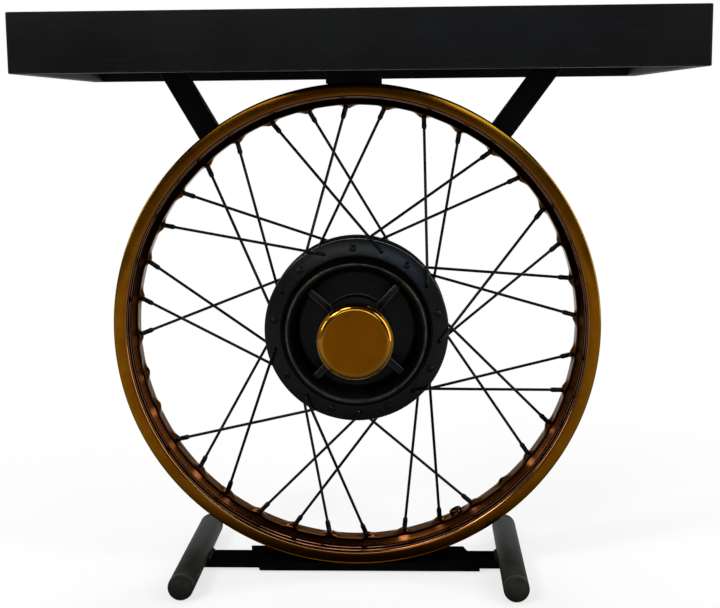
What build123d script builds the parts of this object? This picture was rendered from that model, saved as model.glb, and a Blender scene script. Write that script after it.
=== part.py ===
from build123d import *
import os
from math import cos, radians, sin, tan

# A low table: a spoked wheel rim stands on edge on a two-footed base and carries a flat top.
# Millimetres. +X runs along the top, +Y to the back, +Z up. The origin is on the floor under
# the middle of the top. Wheel angles are counted from +X towards +Z.

# ------------------------------------------------------------------ driving dimensions

# tabletop: a panel in a frame of deeper mitred rails, open underneath
TOP_LENGTH = 600.0
TOP_WIDTH = 340.0
TOP_THICK = 52.0
TOP_UNDERSIDE_Z = 498.0
TOP_CORNER_R = 3.0
TOP_ARRIS = 1.0
RAIL_THICK = 18.0
UPPER_PANEL_THICK = 18.0

# wheel
WHEEL_X = -7.0
AXLE_Z = 250.0
RIM_R = 240.5
RIM_HALF_WIDTH = 28.0
SHOULDER_R = 229.8
SHOULDER_Y = 16.5
WELL_R = 222.4
WELL_Y = 11.0
RIM_WALL = 3.0
LIP_WALL = 4.0
LIP_ROUND = 1.9
VALVE_ANGLE = 297.05
VALVE_BOSS_R = 6.5
VALVE_BOSS_RISE = 4.5
VALVE_BOSS_ROUND = 1.5
VALVE_HOLE_R = 4.2

# lacing: every place takes one spoke, even places to the near flange, odd ones to the far
PLACES = 36
FIRST_PLACE_ANGLE = 102.05
EMPTY_PLACES = (10, 11, 22)
CROSS_ANGLE = 40.0
SPOKE_R = 1.45
ELBOW_R = 2.2
SPOKE_STANDOFF = 1.8
HEAD_R = 3.7
HEAD_THICK = 1.8
HEAD_CLEARANCE = 0.02
AIM_R = 220.3
BOSS_RISE = 3.3
BOSS_BASE_R = 11.0
BOSS_TOP_R = 4.2
BOSS_DEPTH = 7.0
SEAT_INSET = 2.8
NIPPLE_R = 2.6
NIPPLE_NECK_R = 2.0
NIPPLE_LENGTH = 11.5
NIPPLE_NECK = 3.0
THREAD_END = 3.0
NIPPLE_HEAD_R = 4.0
NIPPLE_HEAD_THICK = 2.2

# hub
HOLE_CIRCLE_R = 81.1
HOLE_R = 1.65
FLANGE_R = 90.6
FLANGE_INNER_R = 74.4
FLANGE_THICK = 4.0
NEAR_FLANGE_TILT = 13.0
FAR_FLANGE_TILT = 5.0
NEAR_FLANGE_Y = -33.0
FAR_FLANGE_Y = 12.5
NEAR_LIP_Y = -50.0
FAR_LIP_Y = 45.0
BARREL_R = 72.0
RING_LIP_R = 69.3
DISH_R = 60.5
DISH_FLOOR_Y = -16.0
DRUM_FLOOR_Y = -8.0
DRUM_R = 66.0
LINER_THICK = 4.0
LINER_LENGTH = 44.0
RIBS = 4
RIB_ANGLE = 48.0
RIB_WIDTH = 7.0
RIB_TOP_Y = -42.0
BOSS_R = 31.0
BOSS_NEAR_Y = -47.0
BOSS_FAR_Y = 30.0

# bearings, axle and cap
BEARING_R = 23.5
BEARING_BORE_R = 10.0
BEARING_WIDTH = 14.0
OUTER_RING_INNER_R = 19.6
INNER_RING_OUTER_R = 14.4
RUNNING_GAP = 0.05
NEAR_BEARING_Y = -45.0
FAR_BEARING_Y = 14.0
SLEEVE_R = 13.5
COLLAR_R = 31.3
COLLAR_THICK = 12.0
AXLE_NEAR_Y = -84.0
AXLE_FAR_Y = 52.0
NUT_FLATS = 30.0
NUT_THICK = 12.0
WASHER_R = 18.0
WASHER_THICK = 2.5
CIRCLIP_R = 25.0
CIRCLIP_THICK = 1.4
CAP_R = 36.2
CAP_WALL = 4.0
CAP_FACE_THICK = 6.0
CAP_BACK_Y = -51.5
CAP_FRONT_Y = -102.0
CAP_EDGE_R = 6.0

# struts: square tube from the plates under the panel down into the rim's channel
STRUT_SIZE = 22.2
STRUT_WALL = 2.0
STRUT_CORNER_R = 2.0
LEFT_STRUT_TOP_X = -198.7
LEFT_STRUT_LEAN = 29.85
RIGHT_STRUT_TOP_X = 200.5
RIGHT_STRUT_LEAN = -36.8
PLATE_LENGTH = 64.0
PLATE_WIDTH = 50.0
PLATE_THICK = 4.0
CREST_PLATE_LENGTH = 92.0
CREST_POST_SIZE = 54.0
CREST_POST_WALL = 4.0
SEAT_DEPTH = 0.5
SCREW_R = 2.2
SCREW_HEAD_R = 4.2
SCREW_HEAD_DEPTH = 2.0
SCREW_LENGTH = 16.0
SCREW_END_MARGIN = 8.0
SCREW_Y = 18.0

# base: a flat bar on each side of a saddle plate, ending at two round feet
BASE_YAW = -1.5
BASE_X = -14.0
BAR_WIDTH = 40.0
BAR_THICK = 5.0
BAR_Z = 2.5
SADDLE_LENGTH = 223.0
SADDLE_WIDTH = 54.0
SADDLE_OFFSET = 10.4
SADDLE_SKEW = 7.5
SADDLE_Z = 2.0
FOOT_R = 12.5
FOOT_SPACING = 321.5
FOOT_FRONT_Y = -113.0
FOOT_BACK_Y = 98.0
FOOT_WALL = 2.0
PLUG_LENGTH = 15.0
PLUG_SPIGOT = 12.0
WELD = 4.0

TOP_Z = TOP_UNDERSIDE_Z + TOP_THICK
RIM_TOP_Z = AXLE_Z + RIM_R
RIM_BOTTOM_Z = AXLE_Z - RIM_R
PANEL_Z = TOP_Z - UPPER_PANEL_THICK
PLATE_Z = PANEL_Z - PLATE_THICK
PARTS = {}


# ------------------------------------------------------------------ helpers

def keep(name, *shapes):
    """Register one sub-part, made of one or more separate solids."""
    solids = [solid for shape in shapes for solid in shape.solids()]
    PARTS[name] = solids[0] if len(solids) == 1 else Compound(children=solids)


def block(x0, x1, y0, y1, z0, z1):
    """A box between two corners."""
    return Pos((x0 + x1) / 2, (y0 + y1) / 2, (z0 + z1) / 2) * Box(x1 - x0, y1 - y0, z1 - z0)


def turned(outline, rounds=()):
    """Revolve an outline of (y, radius) points about the wheel's axle.

    rounds lists (point, fillet radius) pairs for the corners that are rounded.
    """
    face = make_face(Polyline([(radius, y, 0) for y, radius in outline], close=True))
    for (y, radius), size in rounds:
        corner = face.vertices().sort_by_distance((radius, y, 0))[0]
        face = fillet(corner, size)
    return Pos(WHEEL_X, 0, AXLE_Z) * revolve(face, Axis.Y)


def ring(y0, y1, inner, outer):
    """A plain ring or, with no inner radius, a disc on the wheel's axle."""
    return turned([(y0, inner), (y1, inner), (y1, outer), (y0, outer)])


def rod(start, end, radius):
    """A round bar between two points."""
    way = Vector(*end) - Vector(*start)
    plane = Plane(origin=start, z_dir=way)
    return extrude(plane * Circle(radius), way.length)


def on_wheel(angle, radius, y):
    """A point at a wheel angle, a radius from the axle and a place along it."""
    turn = radians(angle)
    return (WHEEL_X + radius * cos(turn), y, AXLE_Z + radius * sin(turn))


# ------------------------------------------------------------------ tabletop

def rail(corners):
    """One mitred rail: the rounded box of the whole top, cut to a corner-to-corner outline."""
    outline = make_face(Polyline([(x, y, TOP_UNDERSIDE_Z) for x, y in corners], close=True))
    return extrude(outline, TOP_THICK, dir=(0, 0, 1)) & top_envelope()


def top_envelope():
    half_x, half_y = TOP_LENGTH / 2, TOP_WIDTH / 2
    body = block(-half_x, half_x, -half_y, half_y, TOP_UNDERSIDE_Z, TOP_Z)
    body = fillet(body.edges().filter_by(Axis.Z), TOP_CORNER_R)
    level = body.edges().group_by(Axis.Z)
    return chamfer(level[0] + level[-1], TOP_ARRIS)


def build_top():
    out_x, out_y = TOP_LENGTH / 2, TOP_WIDTH / 2
    in_x, in_y = out_x - RAIL_THICK, out_y - RAIL_THICK
    keep("top_rail_front", rail([(-out_x, -out_y), (out_x, -out_y), (in_x, -in_y), (-in_x, -in_y)]))
    keep("top_rail_back", rail([(-out_x, out_y), (out_x, out_y), (in_x, in_y), (-in_x, in_y)]))
    keep("top_rail_left", rail([(-out_x, -out_y), (-in_x, -in_y), (-in_x, in_y), (-out_x, out_y)]))
    keep("top_rail_right", rail([(out_x, -out_y), (in_x, -in_y), (in_x, in_y), (out_x, out_y)]))
    panel = block(-in_x, in_x, -in_y, in_y, PANEL_Z, TOP_Z)
    for screw in plate_screws():
        panel -= screw
    keep("top_upper_panel", panel)


# ------------------------------------------------------------------ struts and their plates

def plates():
    """The plates under the panel: name, middle along X, length."""
    return [("strut_plate_left", LEFT_STRUT_TOP_X, PLATE_LENGTH),
            ("strut_plate_right", RIGHT_STRUT_TOP_X, PLATE_LENGTH),
            ("rim_crest_plate", WHEEL_X, CREST_PLATE_LENGTH)]


def plate_screws():
    """Countersunk wood screws, driven up through the corners of every plate."""
    head_z, neck_z = PLATE_Z, PLATE_Z + SCREW_HEAD_DEPTH
    screws = []
    for _, x0, length in plates():
        reach = length / 2 - SCREW_END_MARGIN
        for dx in (-reach, reach):
            for dy in (-SCREW_Y, SCREW_Y):
                head = Pos(x0 + dx, dy, (head_z + neck_z) / 2) * Cone(
                    SCREW_HEAD_R, SCREW_R, SCREW_HEAD_DEPTH)
                shank = rod((x0 + dx, dy, neck_z), (x0 + dx, dy, head_z + SCREW_LENGTH), SCREW_R)
                screws.append(head + shank)
    return screws


def channel_core():
    """Everything that lies inside the rim's tyre channel, down to the axle."""
    wall_y = RIM_HALF_WIDTH - LIP_WALL
    return turned([
        (-wall_y, 0), (wall_y, 0), (wall_y, SHOULDER_R), (SHOULDER_Y, SHOULDER_R),
        (WELL_Y, WELL_R), (-WELL_Y, WELL_R), (-SHOULDER_Y, SHOULDER_R), (-wall_y, SHOULDER_R),
    ])


def strut(top_x, lean):
    """A square tube, mitred to its plate and coped to the rim's channel."""
    outer = RectangleRounded(STRUT_SIZE, STRUT_SIZE, STRUT_CORNER_R)
    hole = Rectangle(STRUT_SIZE - 2 * STRUT_WALL, STRUT_SIZE - 2 * STRUT_WALL)
    tube = extrude(outer - hole, 160, both=True)
    tube = Pos(top_x, 0, PLATE_Z) * Rot(0, -lean, 0) * tube
    tube &= block(-TOP_LENGTH / 2, TOP_LENGTH / 2, -50, 50, AXLE_Z + 150, PLATE_Z)
    return tube - channel_core()


def crest_post():
    """A short square tube that stands on the rim's crest."""
    outer = RectangleRounded(CREST_POST_SIZE, CREST_POST_SIZE, CREST_POST_WALL)
    inside = CREST_POST_SIZE - 2 * CREST_POST_WALL
    foot_z = RIM_TOP_Z - SEAT_DEPTH
    tube = extrude(outer - Rectangle(inside, inside), PLATE_Z - foot_z)
    return Pos(WHEEL_X, 0, foot_z) * tube - rim_drum()


def build_struts():
    screws = plate_screws()
    for name, x, length in plates():
        plate = block(x - length / 2, x + length / 2, -PLATE_WIDTH / 2, PLATE_WIDTH / 2,
                      PLATE_Z, PANEL_Z)
        for screw in screws:
            plate -= screw
        keep(name, plate)
    keep("plate_screws", *screws)
    keep("strut_left", strut(LEFT_STRUT_TOP_X, LEFT_STRUT_LEAN))
    keep("strut_right", strut(RIGHT_STRUT_TOP_X, RIGHT_STRUT_LEAN))
    keep("rim_crest_post", crest_post())


# ------------------------------------------------------------------ lacing

def lacing(place):
    """One spoke's seat angle in the rim, hole angle in the hub, flange and side of it."""
    angle = FIRST_PLACE_ANGLE + 360.0 / PLACES * (place - 1)
    near = place % 2 == 0
    forward = place % 4 in (0, 3)
    hole_angle = angle + (CROSS_ANGLE if forward else -CROSS_ANGLE)
    return angle, hole_angle, near, not forward


def hub_hole(place):
    """The middle of a spoke's hole in its flange, and the hole's direction."""
    _, hole_angle, near, _ = lacing(place)
    flange_y = NEAR_FLANGE_Y if near else FAR_FLANGE_Y
    tilt = radians(NEAR_FLANGE_TILT if near else -FAR_FLANGE_TILT)
    turn = radians(hole_angle)
    along = Vector(-sin(tilt) * cos(turn), cos(tilt), -sin(tilt) * sin(turn))
    return Vector(*on_wheel(hole_angle, HOLE_CIRCLE_R, flange_y)), along


def spoke_points(place):
    """The head, the elbow over the hub hole, and the boss's tip, short of where the wire aims."""
    angle, _, near, outside = lacing(place)
    outward = -1 if near else 1
    side = outward if outside else -outward
    centre, along = hub_hole(place)
    half = FLANGE_THICK / 2 * along.Y
    head = centre - along * side * (half + HEAD_CLEARANCE + HEAD_THICK)
    elbow = centre + along * side * (half + SPOKE_R + SPOKE_STANDOFF)
    aim = Vector(*on_wheel(angle, AIM_R, 0))
    return head, elbow, aim + (elbow - aim).normalized() * BOSS_RISE


def boss_frame(place):
    """A plane on a boss's tip whose normal runs down the spoke to the hub."""
    _, elbow, tip = spoke_points(place)
    return Plane(origin=tip, z_dir=elbow - tip)


def spoke(place):
    """A headed wire that bends out of its hub hole and runs into its nipple."""
    head, elbow, tip = spoke_points(place)
    end = tip + (elbow - tip).normalized() * THREAD_END
    path = FilletPolyline(head, elbow, end, radius=ELBOW_R)
    wire = sweep(Plane(origin=head, z_dir=elbow - head) * Circle(SPOKE_R), path=path)
    cap = Plane(origin=head, z_dir=elbow - head) * Pos(0, 0, HEAD_THICK / 2) * Cylinder(
        HEAD_R, HEAD_THICK)
    return wire + cap


def nipple(place):
    """A nipple seated in its boss, bored for the spoke's end."""
    neck_z = NIPPLE_LENGTH - NIPPLE_NECK
    head = Pos(0, 0, -SEAT_INSET - NIPPLE_HEAD_THICK / 2) * Cylinder(
        NIPPLE_HEAD_R, NIPPLE_HEAD_THICK)
    body = Pos(0, 0, (neck_z - SEAT_INSET) / 2) * Cylinder(NIPPLE_R, neck_z + SEAT_INSET)
    neck = Pos(0, 0, neck_z + NIPPLE_NECK / 2) * Cone(NIPPLE_R, NIPPLE_NECK_R, NIPPLE_NECK)
    bore_length = NIPPLE_LENGTH - THREAD_END
    bore = Pos(0, 0, THREAD_END + bore_length / 2) * Cylinder(SPOKE_R, bore_length)
    return boss_frame(place) * (head + body + neck - bore)


def build_lacing():
    laced = [place for place in range(1, PLACES + 1) if place not in EMPTY_PLACES]
    for node, remainder in (("spokes_near_outside", 2), ("spokes_near_inside", 0),
                            ("spokes_far_outside", 1), ("spokes_far_inside", 3)):
        keep(node, *[spoke(place) for place in laced if place % 4 == remainder])
    keep("spoke_nipples", *[nipple(place) for place in laced])


# ------------------------------------------------------------------ rim

def rim_drum():
    """The rim's outside as a solid drum, for seating plates and beads on it."""
    half = RIM_HALF_WIDTH
    return turned([(-half, 0), (half, 0), (half, RIM_R), (-half, RIM_R)],
                  [((half, RIM_R), LIP_ROUND), ((-half, RIM_R), LIP_ROUND)])


def rim_half_outline(side):
    """Half the rim's section from the middle out and back, and its rounded corners."""
    half, wall_y = RIM_HALF_WIDTH, RIM_HALF_WIDTH - LIP_WALL
    well_floor = (WELL_Y - 1.0, WELL_R - RIM_WALL)
    shoulder_foot = (SHOULDER_Y - 0.5, SHOULDER_R - RIM_WALL)
    knuckle = (half, SHOULDER_R - RIM_WALL)
    edge = (half, RIM_R)
    tip = (wall_y, RIM_R)
    outline = [(0, WELL_R - RIM_WALL), well_floor, shoulder_foot, knuckle, edge, tip,
               (wall_y, SHOULDER_R), (SHOULDER_Y, SHOULDER_R), (WELL_Y, WELL_R), (0, WELL_R)]
    rounds = [(well_floor, 3.0), (shoulder_foot, 2.0), (knuckle, 4.0), (edge, LIP_ROUND),
              (tip, LIP_ROUND)]
    mirrored = [(side * y, radius) for y, radius in outline]
    return mirrored, [((side * y, radius), size) for (y, radius), size in rounds]


def valve_boss():
    """The raised boss round the valve hole, and the hole, midway between two places."""
    buried = RIM_WALL / 2
    height = VALVE_BOSS_RISE + buried
    foot = on_wheel(VALVE_ANGLE, WELL_R - RIM_WALL + buried, 0)
    frame = Plane(origin=foot, z_dir=Vector(WHEEL_X, 0, AXLE_Z) - Vector(*foot))
    boss = Pos(0, 0, height / 2) * Cylinder(VALVE_BOSS_R, height)
    boss = fillet(boss.edges().group_by(Axis.Z)[-1], VALVE_BOSS_ROUND)
    return frame * boss, frame * Cylinder(VALVE_HOLE_R, 6 * height)


def build_rim():
    front, front_rounds = rim_half_outline(-1)
    back, back_rounds = rim_half_outline(1)
    rim = turned(front + back[-2:0:-1], front_rounds + back_rounds)
    channel = ring(-RIM_HALF_WIDTH, RIM_HALF_WIDTH, WELL_R - 0.5, RIM_R + 20)
    bosses, sockets = [], []
    for place in range(1, PLACES + 1):
        frame = boss_frame(place)
        boss = Pos(0, 0, -BOSS_DEPTH / 2) * Cone(BOSS_BASE_R, BOSS_TOP_R, BOSS_DEPTH)
        bosses.append(frame * boss - channel)
        sockets.append(frame * Cylinder(NIPPLE_R, 6 * BOSS_DEPTH))
        sockets.append(frame * Pos(0, 0, -SEAT_INSET - 10) * Cylinder(NIPPLE_HEAD_R, 20))
    boss, hole = valve_boss()
    keep("rim", rim + bosses + boss - sockets - hole)


# ------------------------------------------------------------------ hub

def flange_face(flange_y, offset, tilt, radius):
    """A point (y, radius) on one face of a tilted spoke flange."""
    return flange_y + offset + (radius - HOLE_CIRCLE_R) * tan(radians(tilt)), radius


def hub_outline():
    """The hub shell's section, clockwise from the near bearing seat's mouth."""
    half = FLANGE_THICK / 2
    near, far = (NEAR_FLANGE_Y, NEAR_FLANGE_TILT), (FAR_FLANGE_Y, -FAR_FLANGE_TILT)

    def at(flange, offset, radius):
        return flange_face(flange[0], offset, flange[1], radius)

    groove_y = NEAR_FLANGE_Y + 1.0
    seat_end = NEAR_BEARING_Y + BEARING_WIDTH
    clip_y = NEAR_BEARING_Y - CIRCLIP_THICK
    return [
        (BOSS_NEAR_Y, BEARING_R), (BOSS_NEAR_Y, BOSS_R), (DISH_FLOOR_Y, BOSS_R),
        (DISH_FLOOR_Y, DISH_R), (NEAR_LIP_Y + 3.5, DISH_R), (NEAR_LIP_Y, DISH_R + 3.5),
        (NEAR_LIP_Y, RING_LIP_R), (groove_y, BARREL_R), (groove_y, FLANGE_INNER_R),
        at(near, -half, FLANGE_INNER_R), at(near, -half, FLANGE_R), at(near, half, FLANGE_R),
        at(near, half, BARREL_R), at(far, -half, BARREL_R), at(far, -half, FLANGE_R),
        at(far, half, FLANGE_R), at(far, half, BARREL_R), (FAR_LIP_Y, BARREL_R - 1.5),
        (FAR_LIP_Y, DRUM_R), (DRUM_FLOOR_Y, DRUM_R), (DRUM_FLOOR_Y, BOSS_R),
        (BOSS_FAR_Y, BOSS_R), (BOSS_FAR_Y, BEARING_R), (FAR_BEARING_Y, BEARING_R),
        (FAR_BEARING_Y, OUTER_RING_INNER_R + 1), (seat_end, OUTER_RING_INNER_R + 1),
        (seat_end, BEARING_R), (NEAR_BEARING_Y, BEARING_R), (NEAR_BEARING_Y, CIRCLIP_R),
        (clip_y, CIRCLIP_R), (clip_y, BEARING_R),
    ]


def build_hub():
    shell = turned(hub_outline())
    for index in range(RIBS):
        angle = RIB_ANGLE + 360.0 / RIBS * index
        length = DISH_R - BOSS_R + 2
        rib = Pos((BOSS_R + DISH_R) / 2, (RIB_TOP_Y + DISH_FLOOR_Y) / 2, 0) * Box(
            length, DISH_FLOOR_Y - RIB_TOP_Y, RIB_WIDTH)
        shell += Pos(WHEEL_X, 0, AXLE_Z) * Rot(0, -angle, 0) * rib
    holes = []
    for place in range(1, PLACES + 1):
        centre, along = hub_hole(place)
        holes.append(rod(centre - along * FLANGE_THICK, centre + along * FLANGE_THICK, HOLE_R))
    keep("hub_shell", shell - holes)
    keep("drum_liner", ring(DRUM_FLOOR_Y, DRUM_FLOOR_Y + LINER_LENGTH, DRUM_R - LINER_THICK, DRUM_R))


def build_bearings():
    for side, y in (("near", NEAR_BEARING_Y), ("far", FAR_BEARING_Y)):
        end = y + BEARING_WIDTH
        keep(f"bearing_{side}_outer_ring", ring(y, end, OUTER_RING_INNER_R, BEARING_R))
        keep(f"bearing_{side}_sealed_balls",
             ring(y + 1, end - 1, INNER_RING_OUTER_R + RUNNING_GAP, OUTER_RING_INNER_R))
        keep(f"bearing_{side}_inner_ring", ring(y, end, BEARING_BORE_R, INNER_RING_OUTER_R))
    keep("bearing_circlip", ring(NEAR_BEARING_Y - CIRCLIP_THICK, NEAR_BEARING_Y,
                                 OUTER_RING_INNER_R + 1, CIRCLIP_R))
    keep("bearing_spacer_sleeve", ring(NEAR_BEARING_Y + BEARING_WIDTH, FAR_BEARING_Y,
                                       BEARING_BORE_R, SLEEVE_R))


# ------------------------------------------------------------------ axle and cap

def nut(y):
    """A hexagon nut on the axle."""
    plane = Plane(origin=(WHEEL_X, y + NUT_THICK, AXLE_Z), z_dir=(0, -1, 0))
    hexagon = RegularPolygon(NUT_FLATS / 2, 6, major_radius=False) - Circle(BEARING_BORE_R)
    return extrude(plane * hexagon, NUT_THICK)


def build_axle():
    shoulder_y = NEAR_BEARING_Y - 4.0
    collar_y = shoulder_y - COLLAR_THICK
    collar = turned([(NEAR_BEARING_Y, BEARING_BORE_R), (NEAR_BEARING_Y, SLEEVE_R),
                     (shoulder_y, SLEEVE_R), (shoulder_y, COLLAR_R), (collar_y, COLLAR_R),
                     (collar_y, BEARING_BORE_R)])
    edge = (CAP_FRONT_Y, CAP_R)
    bore_r = CAP_R - CAP_WALL
    cap = turned([(CAP_BACK_Y, bore_r), (CAP_BACK_Y, CAP_R), edge, (CAP_FRONT_Y, 0),
                  (CAP_FRONT_Y + CAP_FACE_THICK, 0), (CAP_FRONT_Y + CAP_FACE_THICK, bore_r)],
                 [(edge, CAP_EDGE_R)])
    grub_y = (CAP_BACK_Y + collar_y) / 2
    grub = rod(on_wheel(-90, COLLAR_R - 5, grub_y), on_wheel(-90, CAP_R - 0.3, grub_y), 2.0)
    keep("cap_collar", collar - grub)
    keep("center_cap", cap - rod(on_wheel(-90, COLLAR_R - 5, grub_y),
                                 on_wheel(-90, CAP_R + 1, grub_y), 2.0))
    keep("cap_grub_screw", grub)
    keep("axle", ring(AXLE_NEAR_Y, AXLE_FAR_Y, 0, BEARING_BORE_R))
    far_y = FAR_BEARING_Y + BEARING_WIDTH
    near_washer_y = collar_y - WASHER_THICK
    keep("axle_washer_near", ring(near_washer_y, collar_y, BEARING_BORE_R, WASHER_R))
    keep("axle_nut_near", nut(near_washer_y - NUT_THICK))
    keep("axle_washer_far", ring(far_y, far_y + WASHER_THICK, BEARING_BORE_R, WASHER_R))
    keep("axle_nut_far", nut(far_y + WASHER_THICK))


# ------------------------------------------------------------------ base

def on_base(shape):
    """Place a shape drawn about the base's own middle."""
    return Pos(BASE_X, 0, 0) * Rot(0, 0, BASE_YAW) * shape


def foot_drum(x):
    """A foot's whole outside, as a round bar."""
    return rod((x, FOOT_FRONT_Y, FOOT_R), (x, FOOT_BACK_Y, FOOT_R), FOOT_R)


def foot_plug(x, y, outward):
    """A domed plug with a spigot inside the tube's end; y is the dome's tip."""
    shank = PLUG_LENGTH
    outline = [(0, 0), (0, FOOT_R), (shank, FOOT_R), (shank, FOOT_R - FOOT_WALL),
               (shank + PLUG_SPIGOT, FOOT_R - FOOT_WALL), (shank + PLUG_SPIGOT, 0)]
    face = make_face(Polyline([(radius, along, 0) for along, radius in outline], close=True))
    face = fillet(face.vertices().sort_by_distance((FOOT_R, 0, 0))[0], FOOT_R - 2.5)
    turn = Rot(0, 0, 0) if outward < 0 else Rot(0, 0, 180)
    return Pos(x, y, FOOT_R) * turn * revolve(face, Axis.Y)


def saddle_blank():
    """The saddle plate's outline, with both ends cut on the skew, as a deep block."""
    half_x, half_y = SADDLE_LENGTH / 2, SADDLE_WIDTH / 2
    corners = [(-half_x - SADDLE_SKEW, half_y), (half_x - SADDLE_SKEW, half_y),
               (half_x + SADDLE_SKEW, -half_y), (-half_x + SADDLE_SKEW, -half_y)]
    outline = make_face(Polyline([(SADDLE_OFFSET + x, y, SADDLE_Z) for x, y in corners], close=True))
    return extrude(outline, RIM_BOTTOM_Z + SEAT_DEPTH - SADDLE_Z, dir=(0, 0, 1))


def build_base():
    saddle = saddle_blank()
    keep("saddle_plate", on_base(saddle) - rim_drum())
    foot_x = FOOT_SPACING / 2
    for side, sign in (("left", -1), ("right", 1)):
        x = sign * foot_x
        bar = block(min(x, 0), max(x, 0), -BAR_WIDTH / 2, BAR_WIDTH / 2, BAR_Z, BAR_Z + BAR_THICK)
        keep(f"base_bar_{side}", on_base(bar - saddle - foot_drum(x)))
        tube = rod((x, FOOT_FRONT_Y + PLUG_LENGTH, FOOT_R), (x, FOOT_BACK_Y - PLUG_LENGTH, FOOT_R),
                   FOOT_R)
        keep(f"foot_tube_{side}", on_base(tube - rod((x, FOOT_FRONT_Y, FOOT_R),
                                                     (x, FOOT_BACK_Y, FOOT_R),
                                                     FOOT_R - FOOT_WALL)))
        keep(f"foot_plugs_{side}", on_base(foot_plug(x, FOOT_FRONT_Y, -1)),
             on_base(foot_plug(x, FOOT_BACK_Y, 1)))


# ------------------------------------------------------------------ welds

def wedge(points, y0, y1):
    """A bead of (x, z) section that runs along Y."""
    face = make_face(Polyline([(x, y0, z) for x, z in points], close=True))
    return extrude(face, y1 - y0, dir=(0, 1, 0))


def plate_bead(x, sign):
    """A bead between a strut's flat side and its plate."""
    y = sign * STRUT_SIZE / 2
    corners = [(x, y, PLATE_Z), (x, y + sign * WELD, PLATE_Z), (x, y, PLATE_Z - WELD)]
    face = make_face(Polyline([Vector(*corner) for corner in corners], close=True))
    return extrude(face, 9.0, dir=(1, 0, 0)) + extrude(face, 9.0, dir=(-1, 0, 0))


def build_welds():
    beads = []
    for x in (LEFT_STRUT_TOP_X, RIGHT_STRUT_TOP_X):
        beads += [plate_bead(x, -1), plate_bead(x, 1)]
    keep("weld_beads_strut_plates", *beads)

    half, wall_y = RIM_HALF_WIDTH, RIM_HALF_WIDTH - LIP_WALL
    drum = rim_drum()
    crest_z = RIM_TOP_Z - SEAT_DEPTH
    saddle_z = RIM_BOTTOM_Z + SEAT_DEPTH
    crest_beads, saddle_beads = [], []
    for sign in (-1, 1):
        for y0, y1 in ((-CREST_POST_SIZE / 2, -wall_y), (wall_y, CREST_POST_SIZE / 2)):
            x0 = WHEEL_X + sign * 18.0
            x1 = WHEEL_X + sign * CREST_POST_SIZE / 2
            bead = block(min(x0, x1), max(x0, x1), y0, y1, crest_z - 6, crest_z)
            crest_beads.append(bead - drum)
            bead = block(min(x0, x1), max(x0, x1), y0, y1, saddle_z, saddle_z + 6)
            saddle_beads.append(bead - drum - ring(-half, half, RIM_R + 1.5, RIM_R + 30))
    keep("weld_beads_crest", *crest_beads)
    keep("weld_beads_saddle", *saddle_beads)

    foot_beads = []
    for sign in (-1, 1):
        x = sign * FOOT_SPACING / 2
        z = BAR_Z + BAR_THICK
        points = [(x - sign * 8, z), (x - sign * 17, z), (x - sign * 12, z + 5)]
        bead = wedge(points, 2 - BAR_WIDTH / 2, BAR_WIDTH / 2 - 2)
        foot_beads.append(on_base(bead - foot_drum(x)))
    keep("weld_beads_feet", *foot_beads)


def main():
    build_top()
    build_struts()
    build_rim()
    build_lacing()
    build_hub()
    build_bearings()
    build_axle()
    build_base()
    build_welds()
    os.makedirs("parts", exist_ok=True)
    for name, shape in PARTS.items():
        export_step(shape, f"parts/{name}.step")
    print(len(PARTS), "nodes written")


main()
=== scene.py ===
from math import cos, hypot, pi, radians, sin, tan

import bmesh
import bpy
from mathutils import Matrix, Vector


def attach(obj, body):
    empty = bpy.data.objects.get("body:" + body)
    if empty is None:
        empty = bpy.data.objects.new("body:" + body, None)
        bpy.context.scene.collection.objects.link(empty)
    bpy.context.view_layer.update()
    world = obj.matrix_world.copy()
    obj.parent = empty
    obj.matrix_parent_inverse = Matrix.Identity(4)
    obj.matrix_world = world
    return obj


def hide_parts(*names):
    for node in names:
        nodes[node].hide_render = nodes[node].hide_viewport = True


# A wheel table. Shapes are drawn in millimetres about the wheel's axle, or about the floor
# under the top, and become metres when a piece is finished.
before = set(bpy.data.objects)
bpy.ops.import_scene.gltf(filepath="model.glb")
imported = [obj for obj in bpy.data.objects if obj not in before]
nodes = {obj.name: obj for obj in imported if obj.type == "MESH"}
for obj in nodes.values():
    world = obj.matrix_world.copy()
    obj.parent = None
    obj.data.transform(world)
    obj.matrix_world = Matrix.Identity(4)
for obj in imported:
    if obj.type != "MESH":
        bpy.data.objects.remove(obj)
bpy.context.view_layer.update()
mm = 0.001
axle = Vector((-7.0, 0.0, 250.0))
floorPoint = Vector((0.0, 0.0, 0.0))
print("frame loaded with", len(nodes), "nodes")


# camera: a long lens a little over a metre away, just below the level of the top
eye = {"place": (0.0216, -1.300, 0.4641), "pan": 0.0196, "dip": 0.147, "roll": 0.0111,
       "lens": 65.44, "sensor": 36.0}
lens = bpy.data.cameras.new("tableCamera")
lens.lens, lens.sensor_width = eye["lens"], eye["sensor"]
camera = bpy.data.objects.new("tableCamera", lens)
bpy.context.scene.collection.objects.link(camera)
camera.matrix_world = (Matrix.Translation(eye["place"]) @ Matrix.Rotation(eye["pan"], 4, "Z")
                       @ Matrix.Rotation(pi / 2 - eye["dip"], 4, "X")
                       @ Matrix.Rotation(-eye["roll"], 4, "Z"))
bpy.context.scene.camera = camera


# ---- finishes

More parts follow.
